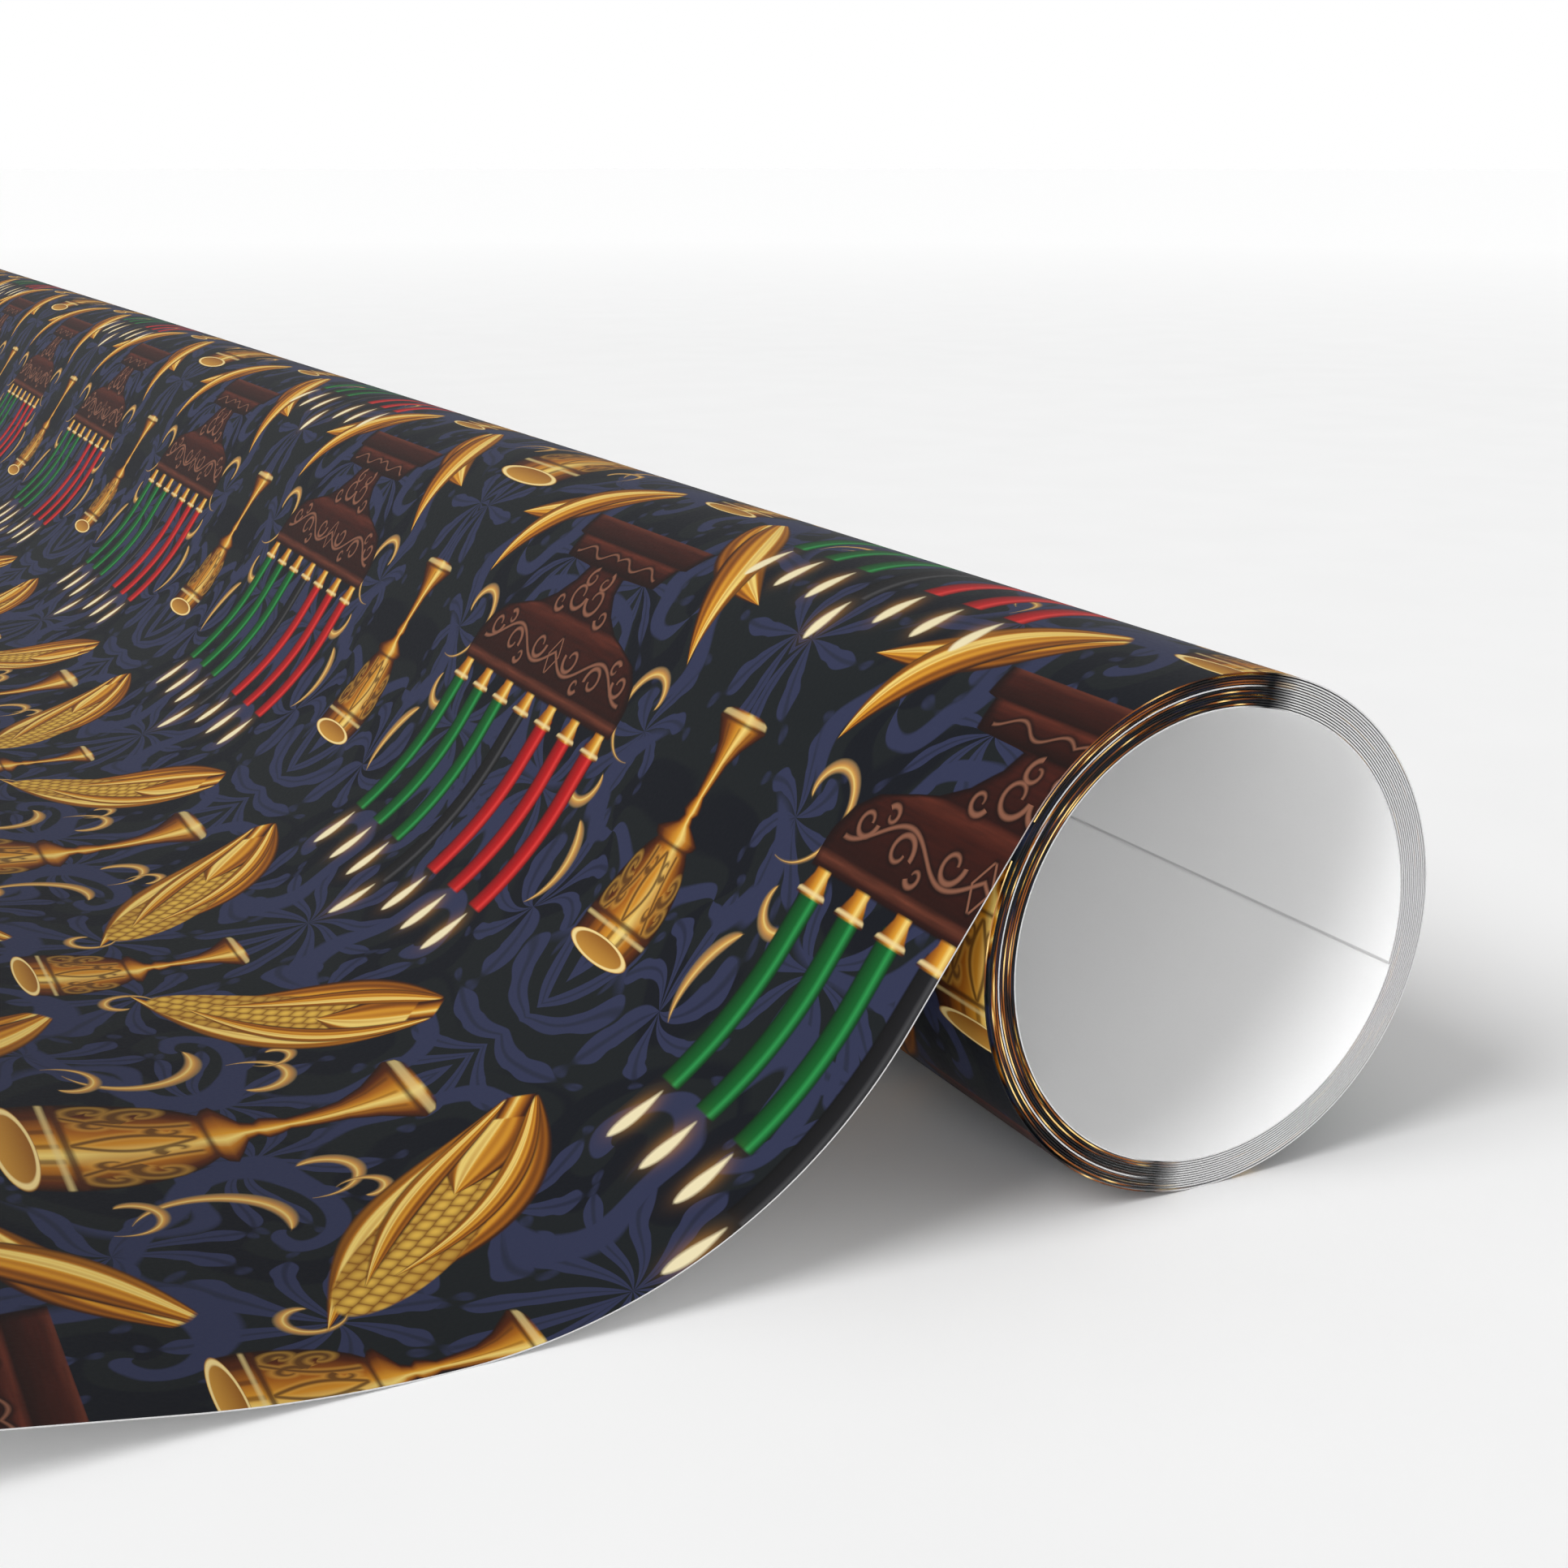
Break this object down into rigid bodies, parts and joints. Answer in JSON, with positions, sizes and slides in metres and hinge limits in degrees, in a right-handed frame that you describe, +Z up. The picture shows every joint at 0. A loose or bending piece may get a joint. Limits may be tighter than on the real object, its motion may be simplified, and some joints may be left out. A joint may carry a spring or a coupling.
{
  "type": "wrapping paper roll",
  "caption": "Hollow roll of printed wrapping paper wound without a core, white on the back, its free end drawn out in a gentle bend to the floor.",
  "frame": {"origin": "on the roll's axis, halfway along it", "axes": "+Y along the roll's axis, +Z up, and the drawn-out sheet runs towards -X"},
  "size_m": [0.1366, 0.762, 0.044],
  "materials": {
    "printed_paper": "satin paper printed in gold, wood brown, red and green on dark charcoal",
    "white_paper": "plain uncoated white back of the paper"
  },
  "bodies": {
    "drawn_sheet": {"outer_turn": "printed_paper", "sheet_slope": "printed_paper"},
    "wound_turn_02": {"turn_02": "printed_paper"},
    "wound_turn_03": {"turn_03": "printed_paper"},
    "wound_turn_04": {"turn_04": "printed_paper"},
    "wound_turn_05": {"turn_05": "printed_paper"},
    "wound_turn_06": {"turn_06": "printed_paper"},
    "wound_turn_07": {"turn_07": "printed_paper"},
    "wound_turn_08": {"turn_08": "printed_paper"},
    "wound_turn_09": {"turn_09": "printed_paper"},
    "wound_turn_10": {"turn_10": "printed_paper"},
    "wound_turn_11": {"turn_11": "printed_paper"},
    "wound_turn_12": {"turn_12": "printed_paper"},
    "wound_inner_turn": {"inner_turn": "white_paper"},
    "strip_bend_1": {"sheet_bend_1": "printed_paper"},
    "strip_bend_2": {"sheet_bend_2": "printed_paper"},
    "strip_bend_3": {"sheet_bend_3": "printed_paper"},
    "strip_bend_4": {"sheet_bend_4": "printed_paper"},
    "strip_curl_1": {"sheet_curl_1": "printed_paper"},
    "strip_curl_2": {"sheet_curl_2": "printed_paper"},
    "strip_end_1": {"sheet_end_1": "printed_paper"},
    "strip_end_2": {"sheet_end_2": "printed_paper"}
  },
  "joints": [
    {"name": "roll_turn", "type": "hinge", "parent": "drawn_sheet", "child": "wound_turn_02", "pos_m": [0, 0, 0], "axis": [0, 1, 0], "continuous": true},
    {"name": "telescope", "type": "slide", "parent": "wound_turn_02", "child": "wound_turn_03", "axis": [0, 1, 0], "range_m": [-0.002, 0.002]},
    {"name": "telescope_04", "type": "slide", "parent": "wound_turn_03", "child": "wound_turn_04", "axis": [0, 1, 0], "range_m": [-0.002, 0.002]},
    {"name": "telescope_05", "type": "slide", "parent": "wound_turn_04", "child": "wound_turn_05", "axis": [0, 1, 0], "range_m": [-0.002, 0.002]},
    {"name": "telescope_06", "type": "slide", "parent": "wound_turn_05", "child": "wound_turn_06", "axis": [0, 1, 0], "range_m": [-0.002, 0.002]},
    {"name": "telescope_07", "type": "slide", "parent": "wound_turn_06", "child": "wound_turn_07", "axis": [0, 1, 0], "range_m": [-0.002, 0.002]},
    {"name": "telescope_08", "type": "slide", "parent": "wound_turn_07", "child": "wound_turn_08", "axis": [0, 1, 0], "range_m": [-0.002, 0.002]},
    {"name": "telescope_09", "type": "slide", "parent": "wound_turn_08", "child": "wound_turn_09", "axis": [0, 1, 0], "range_m": [-0.002, 0.002]},
    {"name": "telescope_10", "type": "slide", "parent": "wound_turn_09", "child": "wound_turn_10", "axis": [0, 1, 0], "range_m": [-0.002, 0.002]},
    {"name": "telescope_11", "type": "slide", "parent": "wound_turn_10", "child": "wound_turn_11", "axis": [0, 1, 0], "range_m": [-0.002, 0.002]},
    {"name": "telescope_12", "type": "slide", "parent": "wound_turn_11", "child": "wound_turn_12", "axis": [0, 1, 0], "range_m": [-0.002, 0.002]},
    {"name": "telescope_inner", "type": "slide", "parent": "wound_turn_12", "child": "wound_inner_turn", "axis": [0, 1, 0], "range_m": [-0.002, 0.002]},
    {"name": "sheet_lift", "type": "hinge", "parent": "drawn_sheet", "child": "strip_bend_1", "pos_m": [-0.02862, 0, -0.0028], "axis": [0, 1, 0], "range_deg": [0, 12]},
    {"name": "sheet_lift_2", "type": "hinge", "parent": "strip_bend_1", "child": "strip_bend_2", "pos_m": [-0.03565, 0, -0.01077], "axis": [0, 1, 0], "range_deg": [0, 12]},
    {"name": "sheet_lift_3", "type": "hinge", "parent": "strip_bend_2", "child": "strip_bend_3", "pos_m": [-0.04439, 0, -0.01682], "axis": [0, 1, 0], "range_deg": [0, 12]},
    {"name": "sheet_lift_4", "type": "hinge", "parent": "strip_bend_3", "child": "strip_bend_4", "pos_m": [-0.05433, 0, -0.0206], "axis": [0, 1, 0], "range_deg": [0, 12]},
    {"name": "sheet_lift_5", "type": "hinge", "parent": "strip_bend_4", "child": "strip_curl_1", "pos_m": [-0.06488, 0, -0.02188], "axis": [0, 1, 0], "range_deg": [0, 12]},
    {"name": "end_curl", "type": "hinge", "parent": "strip_curl_1", "child": "strip_curl_2", "pos_m": [-0.07455, 0, -0.02144], "axis": [0, 1, 0], "range_deg": [0, 25]},
    {"name": "end_curl_2", "type": "hinge", "parent": "strip_curl_2", "child": "strip_end_1", "pos_m": [-0.08413, 0, -0.02011], "axis": [0, 1, 0], "range_deg": [0, 25]},
    {"name": "end_curl_3", "type": "hinge", "parent": "strip_end_1", "child": "strip_end_2", "pos_m": [-0.09937, 0, -0.01729], "axis": [0, 1, 0], "range_deg": [0, 25]}
  ],
  "couplings": [
    {"joint": "telescope_04", "follows": "telescope", "ratio": 1},
    {"joint": "telescope_05", "follows": "telescope", "ratio": 1},
    {"joint": "telescope_06", "follows": "telescope", "ratio": 1},
    {"joint": "telescope_07", "follows": "telescope", "ratio": 1},
    {"joint": "telescope_08", "follows": "telescope", "ratio": 1},
    {"joint": "telescope_09", "follows": "telescope", "ratio": 1},
    {"joint": "telescope_10", "follows": "telescope", "ratio": 1},
    {"joint": "telescope_11", "follows": "telescope", "ratio": 1},
    {"joint": "telescope_12", "follows": "telescope", "ratio": 1},
    {"joint": "telescope_inner", "follows": "telescope", "ratio": 1},
    {"joint": "sheet_lift_2", "follows": "sheet_lift", "ratio": 1},
    {"joint": "sheet_lift_3", "follows": "sheet_lift", "ratio": 1},
    {"joint": "sheet_lift_4", "follows": "sheet_lift", "ratio": 1},
    {"joint": "sheet_lift_5", "follows": "sheet_lift", "ratio": 1},
    {"joint": "end_curl_2", "follows": "end_curl", "ratio": 1},
    {"joint": "end_curl_3", "follows": "end_curl", "ratio": 1}
  ]
}
